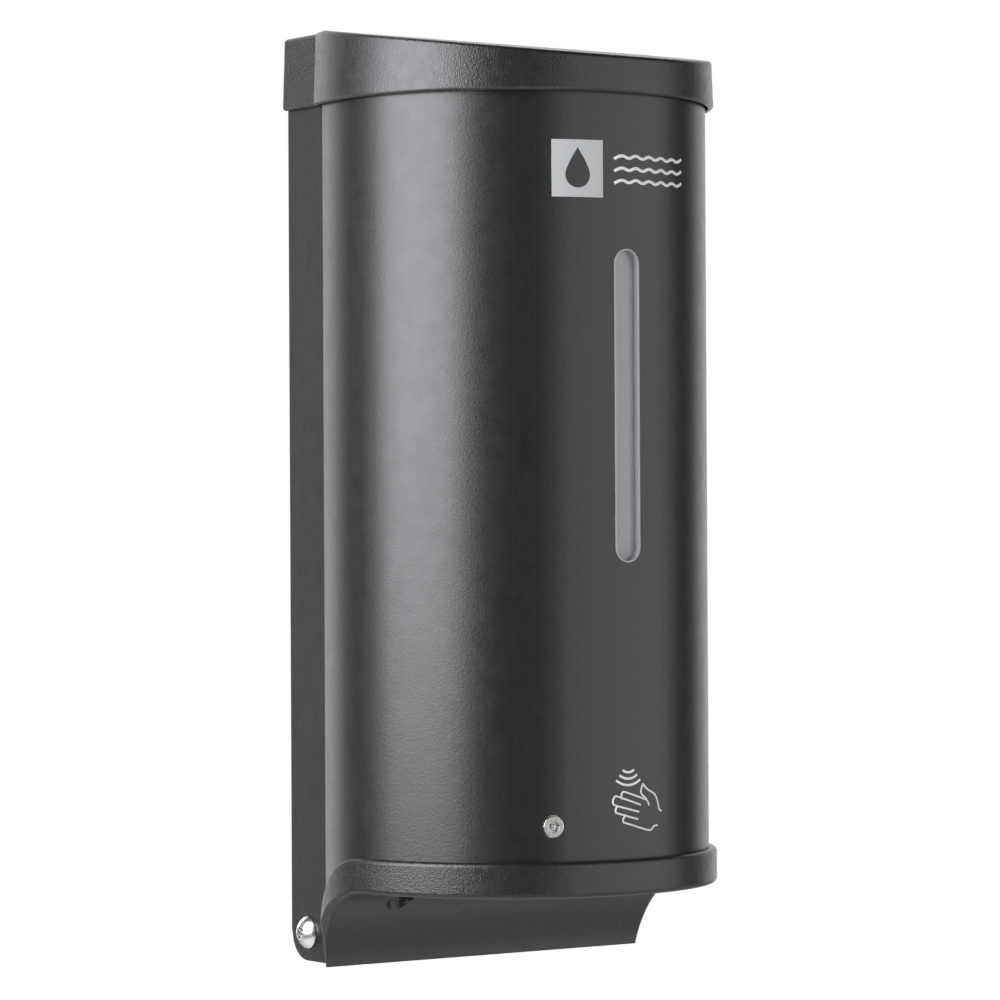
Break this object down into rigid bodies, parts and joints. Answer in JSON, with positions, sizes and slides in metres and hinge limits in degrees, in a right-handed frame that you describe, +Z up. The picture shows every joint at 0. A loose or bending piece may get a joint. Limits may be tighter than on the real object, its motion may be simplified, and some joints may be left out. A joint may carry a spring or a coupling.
{
  "type": "wall mounted soap dispenser",
  "caption": "Touch-free soap dispenser for a wall: a curved black cover with a level window swings down on a low hinge over a tank and a squeeze pump.",
  "frame": {"origin": "centre of the four wall fixings, on the wall plane", "axes": "+Z up, +Y into the wall, so the front faces -Y and +X is to the right of someone facing the dispenser"},
  "size_m": [0.1322, 0.1051, 0.2982],
  "materials": {
    "black_sheet": "satin powder coat with a fine orange peel",
    "black_plastic": "fine moulded grain",
    "clear_plastic": "clear polycarbonate",
    "inner_black_plastic": "plain moulded",
    "grey_plastic": "plain moulded",
    "natural_plastic": "translucent natural polypropylene",
    "white_acetal": "smooth self-lubricating plastic",
    "blue_plastic": "smooth moulded",
    "silicone": "soft, slightly cloudy",
    "dark_rubber": "moulded seal",
    "stainless": "polished stainless steel",
    "zinc_plated": "bright zinc plate",
    "brass": "turned",
    "dark_window": "infrared-clear black",
    "circuit_board": "green solder mask",
    "cell_jacket": "printed film sleeve over steel"
  },
  "bodies": {
    "root": {"module_screws": "zinc_plated", "back_plate": "zinc_plated", "pivot_screws": "stainless", "hinge_nuts": "stainless", "catch_bracket": "zinc_plated", "module_tub": "inner_black_plastic", "module_lid": "inner_black_plastic", "sensor_head": "inner_black_plastic", "sensor_window": "dark_window", "sensor_board": "circuit_board", "status_lamp": "clear_plastic", "nozzle": "white_acetal", "nozzle_valve": "silicone", "idler_pin": "stainless", "drive_motor": "zinc_plated", "gearbox_case": "grey_plastic", "pump_body": "grey_plastic", "pump_lid": "clear_plastic", "suction_tube": "silicone", "pump_tube": "silicone", "delivery_tube": "silicone", "soap_tank": "natural_plastic", "outlet_seal": "dark_rubber", "tank_clip": "stainless", "battery_cells": "cell_jacket", "battery_box": "grey_plastic", "contact_plates": "zinc_plated", "contact_springs": "zinc_plated", "door_rails": "inner_black_plastic", "dc_jack": "inner_black_plastic", "control_board": "circuit_board", "switch_body": "grey_plastic"},
    "cover": {"front_cover": "black_sheet", "left_side_strip": "black_sheet", "right_side_strip": "black_sheet", "top_cap": "black_plastic", "bottom_moulding": "black_plastic", "window_lens": "clear_plastic", "window_retainer": "inner_black_plastic", "cap_screws": "zinc_plated", "moulding_screws": "zinc_plated", "pivot_bushes": "white_acetal", "lock_bush": "brass"},
    "lock": {"lock_spindle": "stainless", "lock_cam": "zinc_plated", "lock_nut": "zinc_plated"},
    "rotor": {"pump_rotor": "blue_plastic", "rotor_shaft": "stainless", "roller_pins": "stainless", "output_gear": "white_acetal"},
    "roller_1": {"pump_roller_1": "white_acetal"},
    "roller_2": {"pump_roller_2": "white_acetal"},
    "roller_3": {"pump_roller_3": "white_acetal"},
    "idler": {"idler_gear": "white_acetal"},
    "motor_rotor": {"motor_pinion": "brass", "motor_shaft": "stainless"},
    "tank_cap": {"filler_cap": "blue_plastic", "filler_gasket": "dark_rubber"},
    "battery_cover": {"battery_door": "inner_black_plastic"},
    "power_slider": {"switch_slider": "blue_plastic"}
  },
  "joints": [
    {"name": "cover_swing", "type": "hinge", "parent": "root", "child": "cover", "pos_m": [0, -0.0095, -0.14], "axis": [1, 0, 0], "range_deg": [0, 78]},
    {"name": "lock_turn", "type": "hinge", "parent": "cover", "child": "lock", "pos_m": [-0.0253, -0.09713, -0.1026], "axis": [-0.3991, -0.9169, 0], "range_deg": [0, 90]},
    {"name": "rotor_spin", "type": "hinge", "parent": "root", "child": "rotor", "pos_m": [-0.027, -0.065, -0.082], "axis": [0, -1, 0], "continuous": true},
    {"name": "idler_spin", "type": "hinge", "parent": "root", "child": "idler", "pos_m": [-0.014, -0.052, -0.06955], "axis": [0, -1, 0], "continuous": true},
    {"name": "motor_spin", "type": "hinge", "parent": "root", "child": "motor_rotor", "pos_m": [-0.002, -0.048, -0.07855], "axis": [0, -1, 0], "continuous": true},
    {"name": "roller_1_spin", "type": "hinge", "parent": "rotor", "child": "roller_1", "pos_m": [-0.027, -0.065, -0.0735], "axis": [0, -1, 0], "continuous": true},
    {"name": "roller_2_spin", "type": "hinge", "parent": "rotor", "child": "roller_2", "pos_m": [-0.03436, -0.065, -0.08625], "axis": [0, -1, 0], "continuous": true},
    {"name": "roller_3_spin", "type": "hinge", "parent": "rotor", "child": "roller_3", "pos_m": [-0.01964, -0.065, -0.08625], "axis": [0, -1, 0], "continuous": true},
    {"name": "filler_cap_turn", "type": "hinge", "parent": "root", "child": "tank_cap", "pos_m": [0, -0.05, 0.108], "axis": [0, 0, 1], "range_deg": [0, 90]},
    {"name": "battery_door_slide", "type": "slide", "parent": "root", "child": "battery_cover", "axis": [0, 0, 1], "range_m": [0, 0.005]},
    {"name": "power_slide", "type": "slide", "parent": "root", "child": "power_slider", "axis": [0, 0, 1], "range_m": [0, 0.0042]}
  ],
  "couplings": [
    {"joint": "idler_spin", "follows": "rotor_spin", "ratio": -4},
    {"joint": "motor_spin", "follows": "rotor_spin", "ratio": 16},
    {"joint": "roller_1_spin", "follows": "rotor_spin", "ratio": -3.4286},
    {"joint": "roller_2_spin", "follows": "rotor_spin", "ratio": -3.4286},
    {"joint": "roller_3_spin", "follows": "rotor_spin", "ratio": -3.4286}
  ]
}
